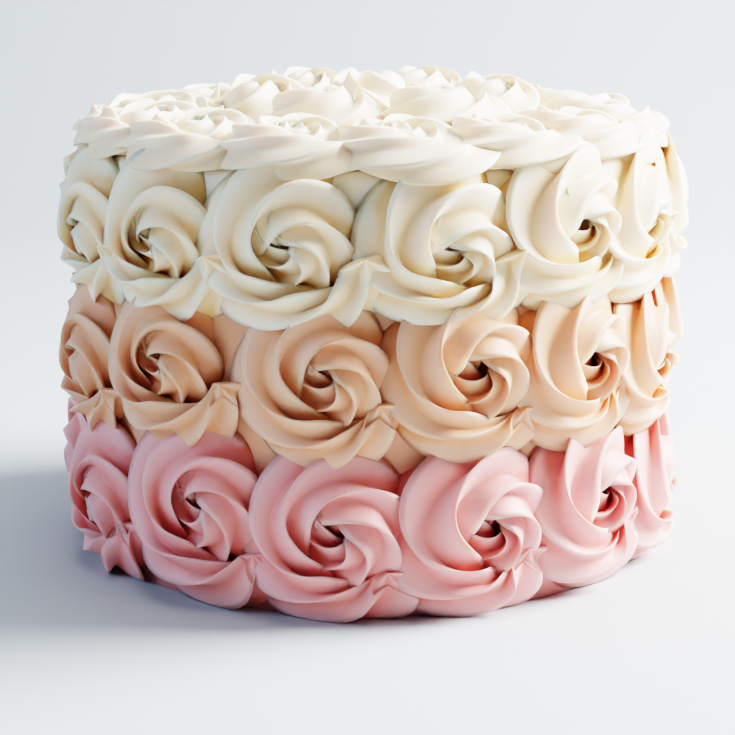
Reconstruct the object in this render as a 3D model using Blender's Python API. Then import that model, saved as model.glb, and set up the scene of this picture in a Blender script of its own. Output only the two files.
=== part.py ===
"""A round layer cake, iced all over and covered in piped buttercream rosettes.

Blender 4.5 Python, metres, +Z up. The origin is the centre of the cake's flat base.
The front faces -Y. An azimuth is measured round the cake from the front, towards +X.
Each rosette is one body. It is drawn on a flat sheet first, x to the right, y up and h off
the icing, and is then wrapped round the side of the cake or laid on its top.
"""

import math
import random

import bmesh
import bpy
from mathutils import Vector

# The iced cake under the rosettes
BODY_RADIUS = 0.1035
BODY_HEIGHT = 0.152
BODY_SIDES = 48
BODY_EDGE_ROUND = 0.004
BODY_DOME_RISE = 0.005
BODY_DOME_RINGS = (0.55,)

# Clearances: between a rosette and the icing under it, and between two rosettes
BED_GAP = 0.0006
SEAM_GAP = 0.0004

# The star nozzle has six points, so a rosette has six crests with a flute after each
POINTS = 6
SPOKES = 2 * POINTS
SPOKE_TURN = 2.0 * math.pi / POINTS

# From the rim to the eye, for each ring: its share of the radius, how far the crests have
# turned in degrees, and the heights of crest and flute as shares of the rosette's depth.
# The rope's outer turn ends at the fifth ring, and the bud inside it is lower.
RINGS = (
    (1.00, 0, 0.38, 0.26),
    (0.91, 28, 0.70, 0.40),
    (0.78, 62, 0.92, 0.58),
    (0.64, 98, 1.00, 0.66),
    (0.52, 132, 0.98, 0.72),
    (0.43, 160, 0.70, 0.52),
    (0.30, 205, 0.86, 0.50),
    (0.16, 255, 0.74, 0.44),
)
RIM_RINGS = 2
EYE_SHARE = 0.40
FLUTE_PULL_IN = 0.94
BASE_SHARE = 0.93
INNER_BASE_SHARE = 0.46

# The rope of icing ends in a drawn-up tip; past the tip it lies one turn further in and lower
TIP_RING = 1
TIP_HEIGHT = 0.95
STEP_IN = 0.12
STEP_DOWN = 0.22

# Rows round the side. The six azimuths are the rosettes of the front; the others are spread
# evenly over the rest of the row.
ROW_COUNT = 13
ROWS = {
    "bottom": {
        "height": 0.0285,
        "radius": 0.0300,
        "depth": 0.0138,
        "azimuths": (-64.2, -34.8, -7.0, 17.1, 44.4, 68.0),
        "colour": "pink_icing",
    },
    "middle": {
        "height": 0.0800,
        "radius": 0.0295,
        "depth": 0.0136,
        "azimuths": (-68.2, -37.6, -10.9, 15.2, 40.3, 62.0),
        "colour": "peach_icing",
    },
    "upper": {
        "height": 0.1290,
        "radius": 0.0300,
        "depth": 0.0142,
        "azimuths": (-66.4, -39.9, -13.6, 12.2, 36.1, 58.5),
        "colour": "cream_icing",
    },
}
ROW_SEAMS = (0.0, 0.0543, 0.1045, 0.1515)
TAIL_ANGLE = math.radians(-20)
TAIL_JITTER = math.radians(9)

# Rings on the top: one that hangs over the edge, one inside it, and a single middle rosette.
# Each ring keeps between its inner and outer seams, given as distances from the axis.
TOP_RINGS = {
    "crown": {
        "count": 13,
        "azimuths": (-70.0, -44.0, -17.5, 7.0, 31.5, 57.0),
        "centre": 0.0885,
        "radius": 0.0270,
        "depth": 0.0150,
        "inner_seam": 0.0645,
        "outer_seam": 0.1160,
    },
    "inner": {
        "count": 6,
        "azimuths": (-80.0, -22.0, 35.0),
        "centre": 0.0435,
        "radius": 0.0245,
        "depth": 0.0158,
        "inner_seam": 0.0205,
        "outer_seam": 0.0622,
    },
    "middle": {
        "count": 1,
        "azimuths": (0.0,),
        "centre": 0.0,
        "radius": 0.0203,
        "depth": 0.0155,
    },
}

# Linear base colours of the buttercream
COLOURS = {
    "crumb_coat": (0.86, 0.66, 0.44),
    "cream_icing": (0.90, 0.80, 0.63),
    "peach_icing": (0.88, 0.60, 0.42),
    "pink_icing": (0.82, 0.38, 0.36),
}
ROUGHNESS = 0.45


def clear_scene():
    for obj in list(bpy.data.objects):
        bpy.data.objects.remove(obj)


def icing_material(name):
    material = bpy.data.materials.get(name)
    if material:
        return material
    material = bpy.data.materials.new(name)
    material.use_nodes = True
    shader = material.node_tree.nodes["Principled BSDF"]
    shader.inputs["Base Color"].default_value = (*COLOURS[name], 1.0)
    shader.inputs["Roughness"].default_value = ROUGHNESS
    shader.inputs["Metallic"].default_value = 0.0
    return material


def add_object(name, bm, colour):
    mesh = bpy.data.meshes.new(name)
    bm.to_mesh(mesh)
    bm.free()
    mesh.materials.append(icing_material(colour))
    obj = bpy.data.objects.new(name, mesh)
    bpy.context.scene.collection.objects.link(obj)


def dome_height(radius):
    """Height of the body's top at this distance from the axis."""
    share = min(1.0, radius / BODY_RADIUS)
    return BODY_HEIGHT + BODY_DOME_RISE * (1.0 - share * share)


def cake_body():
    """The iced layers: a straight wall, a rounded top edge and a slightly domed top."""
    edge_start = Vector((BODY_RADIUS, 0.0, BODY_HEIGHT - BODY_EDGE_ROUND))
    edge_centre = edge_start - Vector((BODY_EDGE_ROUND, 0.0, 0.0))
    outline = [Vector((0.0, 0.0, 0.0)), Vector((BODY_RADIUS, 0.0, 0.0))]
    for degrees in (0, 45, 90):
        angle = math.radians(degrees)
        outline.append(
            edge_centre + BODY_EDGE_ROUND * Vector((math.cos(angle), 0.0, math.sin(angle)))
        )
    for share in BODY_DOME_RINGS:
        radius = share * BODY_RADIUS
        outline.append(Vector((radius, 0.0, dome_height(radius))))
    outline.append(Vector((0.0, 0.0, dome_height(0.0))))

    bm = bmesh.new()
    verts = [bm.verts.new(point) for point in outline]
    edges = [bm.edges.new(pair) for pair in zip(verts, verts[1:])]
    bmesh.ops.spin(
        bm,
        geom=verts + edges,
        cent=(0.0, 0.0, 0.0),
        axis=(0.0, 0.0, 1.0),
        angle=2.0 * math.pi,
        steps=BODY_SIDES,
        use_merge=True,
    )
    bmesh.ops.remove_doubles(bm, verts=bm.verts, dist=1e-5)
    bmesh.ops.recalc_face_normals(bm, faces=bm.faces)
    add_object("cake_body", bm, "crumb_coat")


def held_inside(x, y, seams):
    """Draws a point in towards the eye until it is inside the seams with the neighbours."""
    share = 1.0
    for (across_x, across_y), limit in seams:
        towards = across_x * x + across_y * y
        if towards > limit - SEAM_GAP / 2.0:
            share = min(share, (limit - SEAM_GAP / 2.0) / towards)
    return x * share, y * share


def before_tip(angle, rosette):
    """How much of the rope's last turn is still to come at this angle, from 1 down to 0."""
    return 1.0 - ((angle - rosette["tail"]) % (2.0 * math.pi)) / (2.0 * math.pi)


def ring_point(rosette, angle, share, height):
    """A point on the rosette, smaller and lower where the rope has just passed its tip."""
    step = before_tip(angle, rosette) ** 2
    reach = rosette["radius"] * share * (1.0 - STEP_IN * share * step)
    x, y = held_inside(reach * math.cos(angle), reach * math.sin(angle), rosette["seams"])
    return x, y, rosette["depth"] * height * (1.0 - STEP_DOWN * share * step)


def rosette_rings(rosette):
    """The rings of points from rim to eye on the flat sheet, crest and flute in turn."""
    rings = []
    for ring, (share, turned, crest, flute) in enumerate(RINGS):
        points = []
        for spoke in range(SPOKES):
            angle = rosette["phase"] + 2.0 * math.pi * spoke / SPOKES + math.radians(turned)
            if spoke % 2:
                pull_in = FLUTE_PULL_IN if ring < RIM_RINGS else 1.0
                points.append(ring_point(rosette, angle, share * pull_in, flute))
            elif ring == TIP_RING and before_tip(angle, rosette) < 1.0 / POINTS:
                points.append(ring_point(rosette, angle, share, TIP_HEIGHT))
            else:
                points.append(ring_point(rosette, angle, share, crest))
        rings.append(points)
    return rings


def rosette_bmesh(rosette, place):
    """The closed body of one rosette. place takes a point of the flat sheet to the cake."""
    bm = bmesh.new()
    rings = [
        [bm.verts.new(place(*point)) for point in points] for points in rosette_rings(rosette)
    ]
    eye = bm.verts.new(place(0.0, 0.0, EYE_SHARE * rosette["depth"]))

    base = []
    inner_base = []
    for spoke in range(SPOKES):
        angle = rosette["phase"] + 2.0 * math.pi * spoke / SPOKES
        base.append(bm.verts.new(place(*ring_point(rosette, angle, BASE_SHARE, 0.0))))
        if spoke % 2 == 0:
            inner = ring_point(rosette, angle, INNER_BASE_SHARE, 0.0)
            inner_base.append(bm.verts.new(place(*inner)))
    root = bm.verts.new(place(0.0, 0.0, 0.0))

    for outer, inner in zip([base] + rings, rings):
        for spoke in range(SPOKES):
            following = (spoke + 1) % SPOKES
            bm.faces.new((outer[spoke], outer[following], inner[spoke]))
            bm.faces.new((outer[following], inner[following], inner[spoke]))
    for spoke in range(SPOKES):
        bm.faces.new((rings[-1][spoke], rings[-1][(spoke + 1) % SPOKES], eye))

    for corner in range(POINTS):
        following = (corner + 1) % POINTS
        first, between, last = (base[(2 * corner + k) % SPOKES] for k in range(3))
        bm.faces.new((between, first, inner_base[corner]))
        bm.faces.new((between, inner_base[corner], inner_base[following]))
        bm.faces.new((last, between, inner_base[following]))
        bm.faces.new((inner_base[following], inner_base[corner], root))
    return bm


def whole_ring(front, count):
    """Azimuths of a whole ring: those of the front, then the others evenly over the rest."""
    hidden = count - len(front)
    gap = (front[0] + 360.0 - front[-1]) / (hidden + 1)
    return list(front) + [front[-1] + gap * (k + 1) for k in range(hidden)]


def half_gaps(azimuths, k):
    """Half the turn back to the rosette before this one, and on to the one after it."""
    before = (azimuths[k] - azimuths[k - 1]) % 360.0
    after = (azimuths[(k + 1) % len(azimuths)] - azimuths[k]) % 360.0
    return math.radians(before) / 2.0, math.radians(after) / 2.0


def wrapped_round_side(azimuth, height):
    """Takes the flat sheet to the side of the cake, bent to its curve."""

    def place(x, y, h):
        turn = math.radians(azimuth) + x / BODY_RADIUS
        radius = BODY_RADIUS + BED_GAP + h
        return Vector((radius * math.sin(turn), -radius * math.cos(turn), height + y))

    return place


def laid_on_top(azimuth, centre):
    """Takes the flat sheet to the top of the cake, its y pointing away from the axis."""
    turn = math.radians(azimuth)
    outwards = Vector((math.sin(turn), -math.cos(turn), 0.0))
    sideways = Vector((math.cos(turn), math.sin(turn), 0.0))

    def place(x, y, h):
        flat = outwards * (centre + y) - sideways * x
        return flat + Vector((0.0, 0.0, dome_height(flat.length) + BED_GAP + h))

    return place


def pipe_rows(draw):
    for row, (name, spec) in enumerate(ROWS.items()):
        azimuths = whole_ring(spec["azimuths"], ROW_COUNT)
        for k, azimuth in enumerate(azimuths):
            before, after = half_gaps(azimuths, k)
            rosette = {
                "radius": spec["radius"],
                "depth": spec["depth"] * draw.uniform(0.95, 1.05),
                "phase": draw.uniform(0.0, SPOKE_TURN),
                "tail": TAIL_ANGLE + draw.uniform(-TAIL_JITTER, TAIL_JITTER),
                "seams": (
                    ((1.0, 0.0), after * BODY_RADIUS),
                    ((-1.0, 0.0), before * BODY_RADIUS),
                    ((0.0, 1.0), ROW_SEAMS[row + 1] - spec["height"]),
                    ((0.0, -1.0), spec["height"] - ROW_SEAMS[row]),
                ),
            }
            bm = rosette_bmesh(rosette, wrapped_round_side(azimuth, spec["height"]))
            add_object(f"rosette_{name}_{k + 1:02d}", bm, spec["colour"])


def ring_seams(spec, azimuths, k):
    """On the top the seams are planes through the axis, and one on each side of the ring."""
    if spec["count"] == 1:
        return ()
    centre = spec["centre"]
    before, after = half_gaps(azimuths, k)
    return (
        ((math.cos(before), -math.sin(before)), centre * math.sin(before)),
        ((-math.cos(after), -math.sin(after)), centre * math.sin(after)),
        ((0.0, -1.0), centre - spec["inner_seam"]),
        ((0.0, 1.0), spec["outer_seam"] - centre),
    )


def pipe_top(draw):
    for name, spec in TOP_RINGS.items():
        azimuths = whole_ring(spec["azimuths"], spec["count"])
        for k, azimuth in enumerate(azimuths):
            rosette = {
                "radius": spec["radius"],
                "depth": spec["depth"] * draw.uniform(0.94, 1.06),
                "phase": draw.uniform(0.0, SPOKE_TURN),
                "tail": draw.uniform(0.0, 2.0 * math.pi),
                "seams": ring_seams(spec, azimuths, k),
            }
            bm = rosette_bmesh(rosette, laid_on_top(azimuth, spec["centre"]))
            add_object(f"rosette_top_{name}_{k + 1:02d}", bm, "cream_icing")


def main():
    clear_scene()
    draw = random.Random(7)
    cake_body()
    pipe_rows(draw)
    pipe_top(draw)


main()
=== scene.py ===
import math
import bmesh
import bpy
import numpy as np
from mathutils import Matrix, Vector


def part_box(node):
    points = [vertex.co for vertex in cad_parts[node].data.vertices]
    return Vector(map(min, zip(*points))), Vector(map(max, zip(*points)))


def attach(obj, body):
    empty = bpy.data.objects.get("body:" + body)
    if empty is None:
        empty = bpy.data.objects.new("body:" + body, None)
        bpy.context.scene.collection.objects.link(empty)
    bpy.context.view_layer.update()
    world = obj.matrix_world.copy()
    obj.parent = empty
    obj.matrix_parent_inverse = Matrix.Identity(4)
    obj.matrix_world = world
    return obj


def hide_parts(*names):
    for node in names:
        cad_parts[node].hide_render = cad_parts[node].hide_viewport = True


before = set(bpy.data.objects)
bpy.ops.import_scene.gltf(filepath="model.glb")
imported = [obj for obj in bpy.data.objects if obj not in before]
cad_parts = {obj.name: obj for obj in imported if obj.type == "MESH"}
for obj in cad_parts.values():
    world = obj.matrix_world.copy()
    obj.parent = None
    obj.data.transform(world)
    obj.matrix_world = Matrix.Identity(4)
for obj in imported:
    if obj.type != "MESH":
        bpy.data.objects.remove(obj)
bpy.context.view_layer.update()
mm = 0.001

# The cake that the icing sits on, read from the frame: its side, its top edge and its dome
bodyLow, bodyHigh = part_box("cake_body")
cake = {
    "radius": bodyHigh[0],
    "edge": 0.152,  # height where the side ends
    "edgeRound": 0.004,
}
cake["domeRise"] = bodyHigh[2] - cake["edge"]


def domeHeight(r):
    share = np.minimum(1.0, r / cake["radius"])
    return cake["edge"] + cake["domeRise"] * (1.0 - share**2)


# Camera: at the photograph's height and distance, looking slightly down at the front
view = {
    "distance": 0.750,
    "height": 0.2335,
    "tiltDown": 12.76,  # degrees
    "lens": 97.85,
    "shiftX": -0.0048,
}


def addCamera():
    camera = bpy.data.objects.new("camera", bpy.data.cameras.new("camera"))
    bpy.context.scene.collection.objects.link(camera)
    camera.location = (0.0, -view["distance"], view["height"])
    camera.rotation_euler = (math.radians(90.0 - view["tiltDown"]), 0.0, 0.0)
    camera.data.lens = view["lens"]
    camera.data.shift_x = view["shiftX"]
    camera.data.clip_start = 0.01
    bpy.context.scene.camera = camera


addCamera()
print("camera placed")

# Light: soft daylight from above, a window to the right, a cooler sky to the left
studio = {
    "daylight": {"place": (0.10, -0.10, 1.25), "size": 0.9, "watts": 5.5, "colour": (1.0, 0.94, 0.87)},
    "windowRight": {"place": (1.05, 0.17, 0.76), "size": 0.75, "watts": 74.0, "colour": (0.98, 0.98, 1)},
    "skyLeft": {"place": (-1.20, -0.30, 0.50), "size": 0.9, "watts": 7.4, "colour": (0.47, 0.70, 1.0)},
    "air": {"colour": (0.80, 0.87, 0.95), "strength": 0.07},
    "floor": {"colour": (0.50, 0.55, 0.58), "roughness": 0.7},
    "sweep": {"halfWidth": 4.0, "front": 4.0, "bendAt": 0.75, "bendRadius": 0.6, "wallHeight": 1.2},
}


def addLight(name, look):
    light = bpy.data.objects.new(name, bpy.data.lights.new(name, "AREA"))
    bpy.context.scene.collection.objects.link(light)
    light.location = look["place"]
    aim = Vector((0.0, 0.0, 0.09)) - Vector(look["place"])
    light.rotation_euler = aim.to_track_quat("-Z", "Y").to_euler()
    light.data.shape = "DISK"
    light.data.size = look["size"]
    light.data.energy = look["watts"]
    light.data.color = look["colour"]


def addStudio():
    for name in ("daylight", "windowRight", "skyLeft"):
        addLight(name, studio[name])
    world = bpy.data.worlds.new("air")
    world.use_nodes = True
    world.node_tree.nodes["Background"].inputs["Color"].default_value = (*studio["air"]["colour"], 1.0)
    world.node_tree.nodes["Background"].inputs["Strength"].default_value = studio["air"]["strength"]
    bpy.context.scene.world = world

    # one sheet of paper: flat under the cake, then curving up behind it
    sweep = studio["sweep"]
    bm = bmesh.new()
    bend = Vector((0.0, sweep["bendAt"], sweep["bendRadius"]))
    front = bm.verts.new((-sweep["halfWidth"], -sweep["front"], 0.0))
    start = bm.verts.new((-sweep["halfWidth"], sweep["bendAt"], 0.0))
    bm.edges.new((front, start))
    curve = bmesh.ops.spin(bm, geom=[start], cent=bend, axis=(1, 0, 0), angle=math.pi / 2, steps=16)
    foot = [item for item in curve["geom_last"] if isinstance(item, bmesh.types.BMVert)][0]
    top = bm.verts.new(foot.co + Vector((0.0, 0.0, sweep["wallHeight"])))
    bm.edges.new((foot, top))
    wide = bmesh.ops.extrude_edge_only(bm, edges=bm.edges[:])["geom"]
    bmesh.ops.translate(bm, vec=(2.0 * sweep["halfWidth"], 0.0, 0.0),
                        verts=[item for item in wide if isinstance(item, bmesh.types.BMVert)])
    for face in bm.faces:
        face.normal_update()
        face.smooth = True
    floor = finishedPiece("floor", bm)
    material = bpy.data.materials.new("paleFloor")
    material.use_nodes = True
    shader = material.node_tree.nodes["Principled BSDF"]
    shader.inputs["Base Color"].default_value = (*studio["floor"]["colour"], 1.0)
    shader.inputs["Roughness"].default_value = studio["floor"]["roughness"]
    floor.data.materials.append(material)


def finishedPiece(name, bm):
    mesh = bpy.data.meshes.new(name)
    bm.to_mesh(mesh)
    bm.free()
    piece = bpy.data.objects.new(name, mesh)
    bpy.context.scene.collection.objects.link(piece)
    return piece


addStudio()
print("studio lit")

# Buttercream: satin, a little translucent, with tiny pits; painted shade makes it warmer and darker in
# the folds
# Each icing's lip colour is its own colour; its fold colour is painted shade, darker and warmer, mixed in
# where shade falls in the folds and at the foot
icings = {
    "cream": {"lip": (0.93, 0.83, 0.65), "foldShade": (0.87, 0.50, 0.18), "slot": "cream_icing"},
    "peach": {"lip": (0.82, 0.50, 0.34), "foldShade": (0.79, 0.29, 0.11), "slot": "peach_icing"},
    "pink": {"lip": (0.88, 0.45, 0.43), "foldShade": (0.81, 0.17, 0.13), "slot": "pink_icing"},
}
butter = {
    "roughness": 0.46,
    "satin": (-0.06, 0.08),  # how far the roughness varies with the grain
    "subsurface": 0.5,
    "scatter": 0.0027,  # metres that light travels inside
    "scatterColour": (1.0, 0.46, 0.24),
    "refraction": 1.45,
    "mottleScale": 38.0,
    "mottle": 0.04,  # how much lighter and darker it gets where it is mixed unevenly
    "grainScale": 420.0,
    "pitScale": 260.0,
    "pitSize": (0.04, 0.16),
    "bump": 0.16,
    "bumpHeight": 0.0006,
}


def addNode(tree, kind, **values):
    node = tree.nodes.new(kind)
    for key, value in values.items():
        if hasattr(node, key):
            setattr(node, key, value)
        else:
            node.inputs[key.replace("_", " ")].default_value = value
    return node


def buttercream(name, look):
    material = bpy.data.materials.new(name)
    material.use_nodes = True
    tree = material.node_tree
    shader = tree.nodes["Principled BSDF"]
    shader.inputs["Subsurface Weight"].default_value = butter["subsurface"]
    shader.inputs["Subsurface Radius"].default_value = butter["scatterColour"]
    shader.inputs["Subsurface Scale"].default_value = butter["scatter"]
    shader.inputs["IOR"].default_value = butter["refraction"]

    place = tree.nodes.new("ShaderNodeTexCoord").outputs["Object"]
    foldShade = addNode(tree, "ShaderNodeAttribute", attribute_name="foldShade")

    shade = tree.nodes.new("ShaderNodeMix")  # painted shade: from the lip colour to the darker fold colour where shade falls in the folds
    shade.data_type = "RGBA"
    shade.inputs["A"].default_value = (*look["lip"], 1.0)
    shade.inputs["B"].default_value = (*look["foldShade"], 1.0)
    tree.links.new(foldShade.outputs["Fac"], shade.inputs["Factor"])

    cloud = addNode(tree, "ShaderNodeTexNoise", Scale=butter["mottleScale"], Detail=2.0)
    tree.links.new(place, cloud.inputs["Vector"])
    mixed = addNode(tree, "ShaderNodeHueSaturation")
    brighter = addNode(tree, "ShaderNodeMapRange")
    brighter.inputs["To Min"].default_value = 1.0 - butter["mottle"]
    brighter.inputs["To Max"].default_value = 1.0 + butter["mottle"]
    tree.links.new(cloud.outputs["Fac"], brighter.inputs["Value"])
    tree.links.new(brighter.outputs["Result"], mixed.inputs["Value"])
    tree.links.new(shade.outputs["Result"], mixed.inputs["Color"])
    tree.links.new(mixed.outputs["Color"], shader.inputs["Base Color"])

    grain = addNode(tree, "ShaderNodeTexNoise", Scale=butter["grainScale"], Detail=4.0, Roughness=0.6)
    tree.links.new(place, grain.inputs["Vector"])
    satin = addNode(tree, "ShaderNodeMapRange")
    satin.inputs["To Min"].default_value = butter["roughness"] + butter["satin"][0]
    satin.inputs["To Max"].default_value = butter["roughness"] + butter["satin"][1]
    tree.links.new(grain.outputs["Fac"], satin.inputs["Value"])
    tree.links.new(satin.outputs["Result"], shader.inputs["Roughness"])

    pits = addNode(tree, "ShaderNodeTexVoronoi", Scale=butter["pitScale"])  # air bubbles that burst
    tree.links.new(place, pits.inputs["Vector"])
    pitDepth = addNode(tree, "ShaderNodeMapRange")
    pitDepth.inputs["From Min"].default_value = butter["pitSize"][0]
    pitDepth.inputs["From Max"].default_value = butter["pitSize"][1]
    tree.links.new(pits.outputs["Distance"], pitDepth.inputs["Value"])
    relief = tree.nodes.new("ShaderNodeMath")
    relief.operation = "ADD"
    tree.links.new(grain.outputs["Fac"], relief.inputs[0])
    tree.links.new(pitDepth.outputs["Result"], relief.inputs[1])
    bump = addNode(tree, "ShaderNodeBump", Strength=butter["bump"], Distance=butter["bumpHeight"])
    tree.links.new(relief.outputs["Value"], bump.inputs["Height"])
    tree.links.new(bump.outputs["Normal"], shader.inputs["Normal"])
    return material


icingMaterials = {name: buttercream(name + "Buttercream", look) for name, look in icings.items()}
print("buttercream mixed")

# The thin coat under the rosettes: turned smooth on the side, with faint marks of the scraper
coat = {
    "sides": 180,
    "swell": 0.15 * mm,
    "waves": 0.25 * mm,
    "ripples": ((5.0, 40.0, 1.0), (13.0, -90.0, 0.5)),  # round the cake, up its side, strength
    "blendHeight": 0.16,  # the colours below stand at shares of this height
    # pink low, peach in the middle and cream high; each band is darkened halfway to its fold colour,
    # painted shade for the gaps between the rosettes, and the top gets the cream lip colour
    "blend": ((0.27, "pink"), (0.35, "peach"), (0.62, "peach"), (0.72, "cream")),
    "paleCreamAt": 0.90,
}


def halfShaded(icing):  # halfway from the lip colour to the painted-shade fold colour
    return [0.5 * (lip + foldShade) for lip, foldShade in zip(icings[icing]["lip"], icings[icing]["foldShade"])]


# the coat's colour by height, darkened with painted shade where it shows between the rosettes
def ombreCoatMaterial():
    material = buttercream("coatButtercream", icings["cream"])
    tree = material.node_tree
    shader = tree.nodes["Principled BSDF"]
    place = tree.nodes.new("ShaderNodeTexCoord").outputs["Object"]
    parts = tree.nodes.new("ShaderNodeSeparateXYZ")
    tree.links.new(place, parts.inputs["Vector"])
    rise = addNode(tree, "ShaderNodeMapRange")
    rise.inputs["From Max"].default_value = coat["blendHeight"]
    tree.links.new(parts.outputs["Z"], rise.inputs["Value"])
    ramp = tree.nodes.new("ShaderNodeValToRGB")
    (lowest, lowestIcing), *bands = coat["blend"]
    ramp.color_ramp.elements[0].position = lowest
    ramp.color_ramp.elements[0].color = (*halfShaded(lowestIcing), 1.0)
    ramp.color_ramp.elements[1].position = coat["paleCreamAt"]
    ramp.color_ramp.elements[1].color = (*icings["cream"]["lip"], 1.0)
    for position, icing in bands:
        band = ramp.color_ramp.elements.new(position)
        band.color = (*halfShaded(icing), 1.0)
    tree.links.new(rise.outputs["Result"], ramp.inputs["Fac"])
    tree.links.new(ramp.outputs["Color"], shader.inputs["Base Color"])
    return material


def smoothCoat():
    radius = cake["radius"] + coat["swell"]
    edge = cake["edgeRound"]
    profile = [(0.0, 0.0), (radius - edge, 0.0), (radius, 0.0)]
    upSide, roundEdge, overTop = 12, 4, 8  # stretches between its points
    profile += [(radius, (cake["edge"] - edge) * k / upSide) for k in range(1, upSide + 1)]
    for k in range(1, roundEdge + 1):
        turn = math.radians(90.0 * k / roundEdge)
        r = radius - edge + edge * math.cos(turn)
        profile.append((r, cake["edge"] - edge + edge * math.sin(turn)))
    for k in range(overTop - 1, 0, -1):
        r = (radius - edge) * k / overTop
        profile.append((r, float(domeHeight(r)) + coat["swell"]))
    profile.append((0.0, cake["edge"] + cake["domeRise"] + coat["swell"]))
    bm = bmesh.new()
    verts = [bm.verts.new((r, 0.0, z)) for r, z in profile]
    edges = [bm.edges.new(pair) for pair in zip(verts, verts[1:])]
    bmesh.ops.spin(bm, geom=verts + edges, cent=(0, 0, 0), axis=(0, 0, 1), angle=math.tau,
                   steps=coat["sides"], use_merge=True)
    bmesh.ops.remove_doubles(bm, verts=bm.verts, dist=1e-6)
    bmesh.ops.recalc_face_normals(bm, faces=bm.faces)
    for vert in bm.verts:  # the scraper leaves long shallow waves
        r = math.hypot(vert.co.x, vert.co.y)
        if r > 0.5 * radius and vert.co.z > 0.001:
            a = math.atan2(vert.co.y, vert.co.x)
            wave = sum(part * math.sin(about * a + up * vert.co.z) for about, up, part in coat["ripples"])
            shrink = 1.0 - coat["waves"] * abs(wave) / radius
            vert.co.x *= shrink
            vert.co.y *= shrink
    for face in bm.faces:
        face.smooth = True
    piece = finishedPiece("crumbCoat", bm)
    piece.data.materials.append(ombreCoatMaterial())
    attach(piece, "root")
    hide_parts("cake_body")


smoothCoat()
print("crumb coat spread")

# The rope of icing as it leaves the open star nozzle: straight, one unit long, with six lips.
# Each pair is a share of the way from one lip to the next, and the distance from the middle.
nozzle = {
    "points": 6,
    "aroundEach": 9,  # mesh points from one lip to the next
    "stations": 150,  # rings along the rope
    "flute": ((0, 1.0), (0.025, 0.95), (0.06, 0.76), (0.13, 0.55), (0.25, 0.40), (0.38, 0.34),
              (0.52, 0.40), (0.70, 0.55), (0.87, 0.74), (0.96, 0.94), (1, 1.0)),
    "deepest": 0.34,
    "fine": 400,  # steps of the fine outline of one flute
    "blur": 9,  # how many of them are averaged, which rounds the lips
    "crowding": 1.2,  # mesh points crowd where the outline is steep
}


def starRing():
    # mesh points lie closer together where the outline turns into or out of a lip
    shares, reaches = zip(*nozzle["flute"])
    fine = np.linspace(0.0, 1.0, nozzle["fine"])
    reach = np.interp(fine, shares, reaches)
    blur = nozzle["blur"]
    padded = np.concatenate([reach[-blur - 1:-1], reach, reach[1:blur + 1]])
    reach = np.convolve(padded, np.ones(blur) / blur, "same")[blur:-blur]
    step = np.hypot(nozzle["crowding"] * np.diff(reach), np.diff(fine) * math.tau / nozzle["points"])
    length = np.concatenate([[0.0], np.cumsum(step)])
    ring = []
    for lip in range(nozzle["points"]):
        for k in range(nozzle["aroundEach"]):
            share = float(np.interp(k / nozzle["aroundEach"] * length[-1], length, fine))
            size = float(np.interp(share, fine, reach))
            angle = (lip + share) / nozzle["points"] * math.tau
            ring.append((size * math.cos(angle), size * math.sin(angle)))
    return ring


def straightRope():
    ring = starRing()
    bm = bmesh.new()
    circle = bmesh.ops.create_circle(bm, cap_ends=False, radius=1.0, segments=len(ring))["verts"]
    for vert, (x, y) in zip(circle, ring):
        vert.co = (x, y, 0.0)
    bmesh.ops.spin(bm, geom=bm.verts[:] + bm.edges[:], cent=(0, 0, 0), axis=(0, 0, 1), angle=0.0,
                   dvec=(0, 0, 1.0 / nozzle["stations"]), steps=nozzle["stations"])
    ends = [edge for edge in bm.edges if edge.is_boundary]
    caps = bmesh.ops.holes_fill(bm, edges=ends, sides=0)["faces"]
    bmesh.ops.poke(bm, faces=caps)
    bmesh.ops.recalc_face_normals(bm, faces=bm.faces)
    for face in bm.faces:
        face.smooth = True
    mesh = bpy.data.meshes.new("straightRope")
    bm.to_mesh(mesh)
    bm.free()
    return mesh


rope = straightRope()
ropePoints = np.zeros(len(rope.vertices) * 3)
rope.vertices.foreach_get("co", ropePoints)
ropePoints = ropePoints.reshape(-1, 3)
print("rope piped:", len(rope.vertices), "points")

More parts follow.
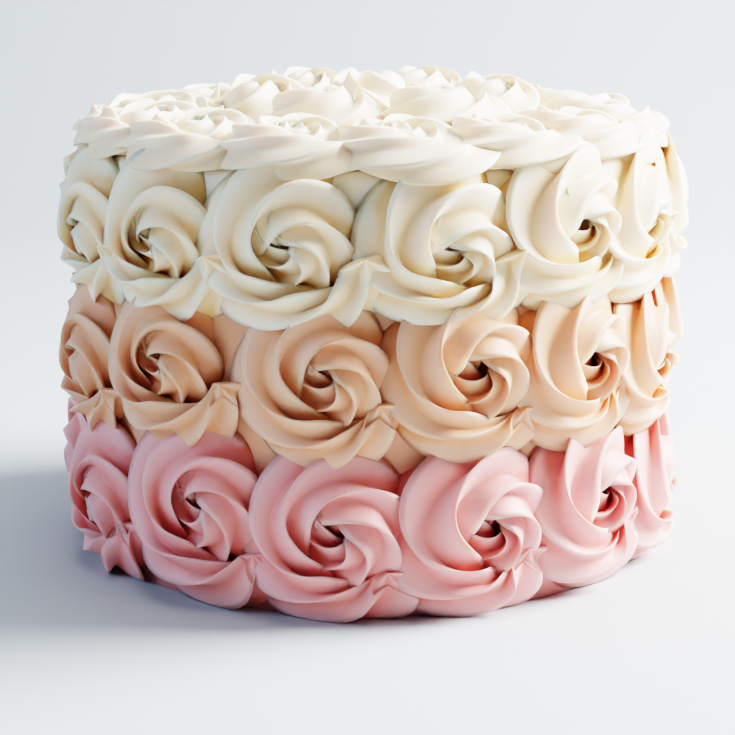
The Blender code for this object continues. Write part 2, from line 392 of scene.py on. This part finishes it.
# How the rope is laid as a rosette, seen from outside with y up. Each list pairs the turns
# made so far with a size in mm or degrees. The eye, where it starts, is at 0, 0.
swirl = {
    "turns": 2.25,
    "stop": 2.12,  # the nozzle stands still from here on and is drawn up
    "stopAt": 0.90,  # share of the rope laid by then
    "path": ((0, 0.5), (0.3, 3.5), (0.6, 6), (0.85, 8.5), (1.05, 12),
             (1.25, 15.5), (1.5, 17.5), (1.75, 18.5), (1.95, 21)),
    "shift": (3.8, -7.4),  # the middle of the wide turn, to the right of the eye and below it
    "shifting": ((0, 0), (0.5, 0), (1.1, 1), (2.25, 1)),
    "girth": ((0, 6.5), (0.1, 7.5), (0.3, 8.2), (0.85, 8.6), (1.1, 9.8),
              (1.9, 10.5), (2.14, 10.5), (2.19, 8), (2.25, 0.4)),
    "lift": ((0, 0.5), (0.06, 3.5), (0.15, 5), (0.3, 5), (0.85, 4),
             (1.15, 6), (1.9, 6.5), (2.1, 4.5), (2.2, 6.5), (2.25, 9)),
    "roll": ((0, 0), (0.05, 20), (0.18, 65), (0.3, 80), (2.0, 78), (2.16, 20), (2.22, 0), (2.25, 0)),
    # slope down away from the eye
    "bank": ((0, 0), (0.4, 0.2), (0.85, 0.35), (1.2, 0.42), (2.0, 0.42), (2.12, 0)),
    "wobble": 0.02,  # how uneven the path and the girth are
    "flatten": 0.80,  # height of the rope against its width
    "leanIn": 0.20,  # lips lean towards the eye
    "leanFrom": 2.0,  # from this many mm off the icing
    "soften": 0.0,  # how far the flutes have filled, from 0, crisp, to 1, round
    "blunt": 0.3,  # the same at the drawn-up end, on top of that
    # side on which the drawn-up end sinks in, how much, from where, and how wide that side is
    "merge": {"side": (-0.2, 1.0), "depth": 0.95, "start": 0.80, "overrun": 0.02, "facing": (-0.4, 0.5)},
    "eyeFloor": 6.5,  # mm of icing that has welled up under the eye
    "eyeReach": 7.5,
    "eyeKeeps": 0.3,  # share of the depth under that floor that is left
    "eyeFixed": 12.0,  # mm round the eye that stretching spares
}
# The fine line along a rope, and over how many of its steps each list is smoothed to both sides
fineLine = {
    "steps": 900,
    "laid": 5,
    "path": 40,
    "shifting": 60,
    "girth": 8,
    "lift": 14,
    "roll": 14,
    "bank": 30,
}


def alongRope(pairs, turned, smooth):
    turns, values = zip(*pairs)
    padded = np.pad(np.interp(turned, turns, values), smooth, mode="edge")
    kernel = np.hanning(2 * smooth + 3)[1:-1]
    return np.convolve(padded, kernel / kernel.sum(), "valid")


def waver(t, count, draw):
    wave = np.zeros_like(t)
    for k in range(1, count + 1):
        wave += draw.uniform(-1, 1) / k**0.5 * np.sin(math.tau * k * t + draw.uniform(0, math.tau))
    return wave


def eased(share):
    share = np.clip(share, 0.0, 1.0)
    return share * share * (3.0 - 2.0 * share)


def layRope(look, tip, draw):
    # works along a fine line first, then moves every point of the rope to its place
    t = np.linspace(0.0, 1.0, fineLine["steps"])
    stop = look["stop"]
    turned = np.interp(t, (0.0, look["stopAt"], 1.0), (0.0, stop, look["turns"]))
    went = alongRope(((0, 0), (stop, stop), (look["turns"], stop)), turned, fineLine["laid"])
    shift = look["shift"]
    toTip = (tip[0] - shift[0], tip[1] - shift[1])
    onPath = t * stop
    radius = alongRope(look["path"] + ((stop, math.hypot(*toTip)),), onPath, fineLine["path"])
    radius = radius * (1.0 + look["wobble"] * waver(t, 5, draw))
    heading = math.atan2(toTip[1], toTip[0]) - (stop - onPath) * math.tau
    shifting = alongRope(look["shifting"], onPath, fineLine["shifting"])
    middleX = shift[0] * shifting + radius * np.cos(heading)
    middleY = shift[1] * shifting + radius * np.sin(heading)
    forwardX, forwardY = np.gradient(middleX), np.gradient(middleY)
    pace = np.hypot(forwardX, forwardY)

    share = ropePoints[:, 2]
    place = np.interp(share, t, went)
    lines = (middleX, middleY, forwardX / pace, forwardY / pace)
    atX, atY, aheadX, aheadY = (np.interp(place, onPath, line) for line in lines)

    def there(part):
        return np.interp(share, t, alongRope(look[part], turned, fineLine[part]))

    girth = there("girth") * np.interp(share, t, 1.0 + look["wobble"] * waver(t, 12, draw))
    rolled = np.radians(there("roll"))
    phase = math.radians(look["phase"])
    merge = look["merge"]
    ending = eased((share - merge["start"]) / (look["stopAt"] + merge["overrun"] - merge["start"]))
    filled = look["soften"] + look["blunt"] * ending
    girth = girth * np.hypot(ropePoints[:, 0], ropePoints[:, 1]).clip(0.3) ** -filled
    starX = (ropePoints[:, 0] * math.cos(phase) - ropePoints[:, 1] * math.sin(phase)) * girth
    starY = (ropePoints[:, 0] * math.sin(phase) + ropePoints[:, 1] * math.cos(phase)) * girth
    facing = (starX * merge["side"][0] + starY * merge["side"][1]) / np.hypot(starX, starY).clip(0.001)
    away, towards = merge["facing"]
    sunk = 1.0 - merge["depth"] * ending * eased((facing - away) / (towards - away))
    starX, starY = starX * sunk, starY * sunk
    along = starX * aheadX + starY * aheadY
    across = starX * aheadY - starY * aheadX
    z = there("lift") - along * np.sin(rolled) * look["flatten"] - there("bank") * across
    across = across - look["leanIn"] * np.maximum(0.0, z - look["leanFrom"])
    x = atX + across * aheadY + along * np.cos(rolled) * aheadX
    y = atY - across * aheadX + along * np.cos(rolled) * aheadY
    floor = look["eyeFloor"] * np.exp(-(x**2 + y**2) / look["eyeReach"] ** 2)
    return x, y, np.where(z < floor, floor - look["eyeKeeps"] * (floor - z), z)


def stretched(x, y, reach):
    # pulls the rosette to its own reach left, right, up and down, and leaves the eye alone
    plain = (-x.min(), x.max(), y.max(), -y.min())
    left, right, up, down = (own / common for own, common in zip(reach, plain))
    far = np.hypot(x, y) + 1e-9
    sideways, upright = (x / far) ** 2, (y / far) ** 2
    factor = np.where(x < 0, left, right) * sideways + np.where(y < 0, down, up) * upright
    factor = 1.0 + (factor - 1.0) * np.clip(far / swirl["eyeFixed"], 0.0, 1.0)
    return x * factor, y * factor


# Painted shade: where the icing is coloured warmer and darker because shade falls there, worked out on a
# grid of cells in mm
foldShading = {
    "cell": 0.8,
    "half": 64,  # cells each way from the eye
    "near": 4.25,  # cells that count as around a point
    "fall": 0.25,  # mm that a lip counts less for each cell away
    "deep": 6.5,  # mm below what is around it where a point gets the full painted shade
    # painted shade towards the bottom of each flute of the star, and how it grows towards there
    "flute": 0.8,
    "fluteCurve": 1.3,
    "footShadeFades": 7.0,  # mm off the cake where the painted shade at the foot has faded
    "curve": 1.2,
    "eyeLight": 0.5,  # share of the painted shade that is taken off again in the eye
}


def paintedFoldShade(x, y, z, lowest, depth):
    # painted shade: 0 on the lips, 1 at the bottom of the flutes, from how far a point lies below what is
    # around it
    cell, half, near = foldShading["cell"], foldShading["half"], int(foldShading["near"])
    column = np.clip((x / cell + half).astype(int), near, 2 * half - near - 1)
    line = np.clip((y / cell + half).astype(int), near, 2 * half - near - 1)
    top = np.zeros((2 * half, 2 * half))
    np.maximum.at(top, (line, column), z)
    around = np.zeros_like(top)
    for down in range(-near, near + 1):
        for right in range(-near, near + 1):
            far = math.hypot(down, right)
            if far <= foldShading["near"]:
                around = np.maximum(around, np.roll(top, (down, right), (0, 1)) - foldShading["fall"] * far)
    shifts = [(down, right) for down in (-1, 0, 1) for right in (-1, 0, 1)]
    smooth = sum(np.roll(around, shift, (0, 1)) for shift in shifts) / len(shifts)
    below = (smooth[line, column] - z) / foldShading["deep"]
    reach = np.hypot(ropePoints[:, 0], ropePoints[:, 1])
    # painted shade from the nozzle outline: darker towards the bottom of each flute
    flute = np.clip((1.0 - reach) / (1.0 - nozzle["deepest"]), 0.0, 1.0) ** foldShading["fluteCurve"]
    # painted shade at the foot, fading with height off the cake
    foot = lowest * (1.0 - z / foldShading["footShadeFades"])
    deep = np.maximum(np.maximum(below, foldShading["flute"] * flute), foot)
    # less painted shade in the eye
    inEye = np.exp(-(x**2 + y**2) / swirl["eyeReach"] ** 2)
    return depth * (1.0 - foldShading["eyeLight"] * inEye) * np.clip(deep, 0.0, 1.0) ** foldShading["curve"]


def rosettePiece(name, node, points, foldShade, icing):
    mesh = rope.copy()
    mesh.name = name
    mesh.vertices.foreach_set("co", np.stack(points, 1).ravel())
    # each point's painted shade, which the material mixes into the colour
    attribute = mesh.attributes.new("foldShade", "FLOAT", "POINT")
    attribute.data.foreach_set("value", foldShade.astype(np.float32))
    mesh.update()
    piece = bpy.data.objects.new(name, mesh)
    bpy.context.scene.collection.objects.link(piece)
    piece.data.materials.append(icingMaterials[icing])
    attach(piece, "root")
    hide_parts(node)
    return piece


# How a flat rosette is bent round the side and over the top, in metres except where it says mm
onSide = {
    "lowest": -0.5,  # mm into the coat
    "middleDepth": 0.006,  # where the icing keeps its width
    "foot": 0.3 * mm,  # the gap under the cake's edge
    "spreadOut": 0.5,  # icing pressed down at the foot spreads outwards
    "spreadSideways": 0.30,
    "spreadBelow": 0.018,
    "foldShading": (0.4, 1.0),  # least painted shade at the foot, and how strong the painted shade is in all
}
onTop = {
    "fanFrom": 0.03,  # rosettes further out than this widen outwards like slices
    "hangFrom": 0.004,  # inside the cake's edge
    "hangRadius": 0.055,
    "edgeFrom": 0.002,
    "lowest": -0.5,  # mm into the coat
    "lowestPastEdge": -4.0,
    "sizes": (0.96, 1.04),
    # least painted shade at the foot, and how strong the painted shade is in all, weaker on the top
    "foldShading": (0.0, 0.4),
}


def wrapRoundSide(x, y, z, azimuth, height):
    # x to the right, y up and z off the icing, bent round the side of the cake
    z = np.maximum(z, onSide["lowest"]) * mm
    up = height + y * mm
    below = np.minimum(0.0, up - onSide["foot"])
    x = x * (1.0 + onSide["spreadSideways"] * eased(1.0 - up / onSide["spreadBelow"]))
    turn = math.radians(azimuth) + x * mm / (cake["radius"] + onSide["middleDepth"])
    r = cake["radius"] + z - onSide["spreadOut"] * below
    up = np.maximum(up, onSide["foot"])
    return r * np.sin(turn), -r * np.cos(turn), up


def layOnTop(x, y, z, azimuth, centre):
    # y away from the axis, x to the left seen from outside; past the edge it droops
    if centre > onTop["fanFrom"]:
        turn = math.radians(azimuth) - x * mm / centre
        r = centre + y * mm
        px, py = r * np.sin(turn), -r * np.cos(turn)
    else:
        px, py = -x * mm, y * mm
    r = np.hypot(px, py)
    over = np.maximum(0.0, r - (cake["radius"] - onTop["hangFrom"]))
    droop = over**2 / onTop["hangRadius"]
    lowest = np.where(r < cake["radius"] - onTop["edgeFrom"], onTop["lowest"], onTop["lowestPastEdge"])
    return px, py, domeHeight(r) + np.maximum(z, lowest) * mm - droop


# The three rows round the side. For each rosette of the front, from left to right: azimuth of
# the eye in degrees, its height in mm, its reach left, right, up and down in mm, where the
# drawn-up tip is, to the right and up in mm, and how far the nozzle was turned in the hand, in
# degrees. The rest of a row is spread evenly behind.
rows = {
    "bottom": {
        "icing": "pink",
        "front": (
            (-65.5, 31.9, (30.0, 34.0, 26.0, 34.0), (20, -9), 5),
            (-33.9, 42.6, (38.0, 32.0, 23.0, 44.0), (24.6, -19.9), 12),
            (-8.8, 37.6, (32.0, 36.0, 24.0, 40.5), (20.7, -17.5), -4),
            (18.6, 37.6, (37.0, 32.0, 24.0, 39.5), (19.4, -14.7), -9),
            (43.9, 42.3, (29.0, 39.0, 23.0, 43.3), (26, -16), 28),
            (71.9, 32.4, (31.0, 29.0, 24.0, 35.0), (22, -12), 0),
        ),
        "behind": (38.0, (35.0, 36.0, 27.0, 41.0), (24, -17)),
    },
    "middle": {
        "icing": "peach",
        "front": (
            (-73.3, 80.7, (26.0, 36.0, 24.0, 34.0), (27, -12), 10),
            (-41.7, 89.6, (31.5, 36.0, 24.0, 37.5), (33.2, -10.4), 6),
            (-9.7, 90.3, (32.5, 31.0, 24.0, 39.8), (23.5, -15.0), -6),
            (15.7, 93.1, (30.0, 34.5, 23.0, 40.5), (22.9, -20.7), -8),
            (40.1, 90.7, (31.0, 36.0, 23.0, 40.0), (24, -14), -11),
            (63.5, 83.1, (29.0, 34.0, 24.0, 34.0), (26, -12), 12),
        ),
        "behind": (88.0, (34.0, 36.0, 27.0, 39.0), (27, -14)),
    },
    "upper": {
        "icing": "cream",
        "front": (
            (-68.2, 128.4, (31.0, 36.0, 27.0, 31.0), (28, -6), 10),
            (-43.0, 130.7, (31.5, 37.0, 29.0, 34.0), (31.1, -6.8), 18),
            (-16.5, 132.3, (32.5, 41.0, 28.0, 37.5), (30.8, -6.6), 30),
            (11.5, 131.0, (30.5, 38.5, 29.0, 33.5), (27.8, -4.0), 26),
            (36.9, 137.3, (35.0, 42.0, 24.0, 36.0), (30, -8), -4),
            (57.5, 135.1, (34.0, 40.0, 25.0, 34.9), (30, -6), 8),
        ),
        "behind": (133.0, (34.0, 40.0, 28.0, 37.0), (31, -7)),
        # tips stand higher, on the next rosette
        "lift": swirl["lift"][:-2] + ((2.2, 9.5), (2.25, 13)),
    },
}
rowCount = 13
# How far a hidden rosette may differ from its row, either way, and how the nozzle may be turned
uneven = {"azimuth": 1, "height": 2, "reach": 2, "tip": 3, "phase": (-8, 30)}


def wholeRow(front, count, behind, draw):
    row = list(front)
    hidden = count - len(front)
    gap = (front[0][0] + 360.0 - front[-1][0]) / (hidden + 1)
    height, reach, tip = behind

    def differ(part):
        return draw.uniform(-uneven[part], uneven[part])

    for k in range(hidden):
        azimuth = front[-1][0] + gap * (k + 1) + differ("azimuth")
        ownReach = tuple(r + differ("reach") for r in reach)
        ownTip = tuple(t + differ("tip") for t in tip)
        row.append((azimuth, height + differ("height"), ownReach, ownTip, draw.uniform(*uneven["phase"])))
    return row


def pipeRows():
    draw = np.random.default_rng(11)
    for row, look in rows.items():
        rosettes = wholeRow(look["front"], rowCount, look["behind"], draw)
        for k, (azimuth, height, reach, tip, phase) in enumerate(rosettes):
            x, y, z = layRope(dict(swirl, phase=phase, lift=look.get("lift", swirl["lift"])), tip, draw)
            x, y = stretched(x, y, reach)
            points = wrapRoundSide(x, y, z, azimuth, height * mm)
            name = f"{row}Rosette{k + 1:02d}"
            # painted shade in the folds and at the foot
            foldShade = paintedFoldShade(x, y, z, *onSide["foldShading"])
            rosettePiece(name, f"rosette_{row}_{k + 1:02d}", points, foldShade, look["icing"])


pipeRows()
print("side rosettes piped")

# The rosettes of the top: the crown hangs over the edge, the others fill the middle. Azimuths
# and turns in degrees, the centre of each ring and the reaches in mm
topRings = {
    "crown": {
        "front": (-70.0, -44.0, -17.5, 7.0, 31.5, 57.0),
        "count": 13,
        "centre": 87.0,
        "reach": (27.0, 29.0, 26.0, 26.0),
        "tip": (29, -17),
        "turned": (168, 192),
        "tall": 0.95,
        "soften": 0.45,
        "bank": ((0, 0), (0.85, 0.05), (1.2, 0.12), (2.0, 0.12), (2.12, 0)),
    },
    "inner": {
        "front": (-80.0, -22.0, 35.0),
        "count": 6,
        "centre": 43.5,
        "reach": (26.0, 26.0, 24.0, 24.0),
        "tip": (26, -12),
        "turned": (0, 360),
        "tall": 1.25,
        "soften": 0.3,
        "bank": swirl["bank"],
    },
    "middle": {
        "front": (0.0,),
        "count": 1,
        "centre": 0.0,
        "reach": (22.0, 22.0, 22.0, 22.0),
        "tip": (26, -12),
        "turned": (0, 360),
        "tall": 1.35,
        "soften": 0.3,
        "bank": swirl["bank"],
    },
}
topLift = ((0, 0.5), (0.06, 5), (0.15, 7.5), (0.3, 7), (0.85, 5)) + swirl["lift"][5:]


def pipeTop():
    draw = np.random.default_rng(5)
    for ring, look in topRings.items():
        front = [(azimuth,) for azimuth in look["front"]]
        rosettes = wholeRow(front, look["count"], (0.0, (), ()), draw)
        for k, rosette in enumerate(rosettes):
            phase = draw.uniform(0, 60)
            turn = math.radians(draw.uniform(*look["turned"]))
            own = dict(swirl, phase=phase, soften=look["soften"], bank=look["bank"], lift=topLift)
            x, y, z = layRope(own, look["tip"], draw)
            x, y = x - swirl["shift"][0], y - swirl["shift"][1]
            x, y = stretched(x, y, look["reach"])
            size = draw.uniform(*onTop["sizes"])
            cosine, sine = size * math.cos(turn), size * math.sin(turn)
            x, y = x * cosine - y * sine, x * sine + y * cosine
            points = layOnTop(x, y, z * look["tall"], rosette[0], look["centre"] * mm)
            name = f"top{ring.capitalize()}Rosette{k + 1:02d}"
            # painted shade in the folds, weaker on the top
            foldShade = paintedFoldShade(x, y, z, *onTop["foldShading"])
            rosettePiece(name, f"rosette_top_{ring}_{k + 1:02d}", points, foldShade, "cream")


pipeTop()
print("top rosettes piped")

bpy.data.meshes.remove(rope)
bpy.context.scene.view_settings.view_transform = "Filmic"
bpy.context.scene.view_settings.look = "High Contrast"
bpy.context.scene.view_settings.exposure = 0.38
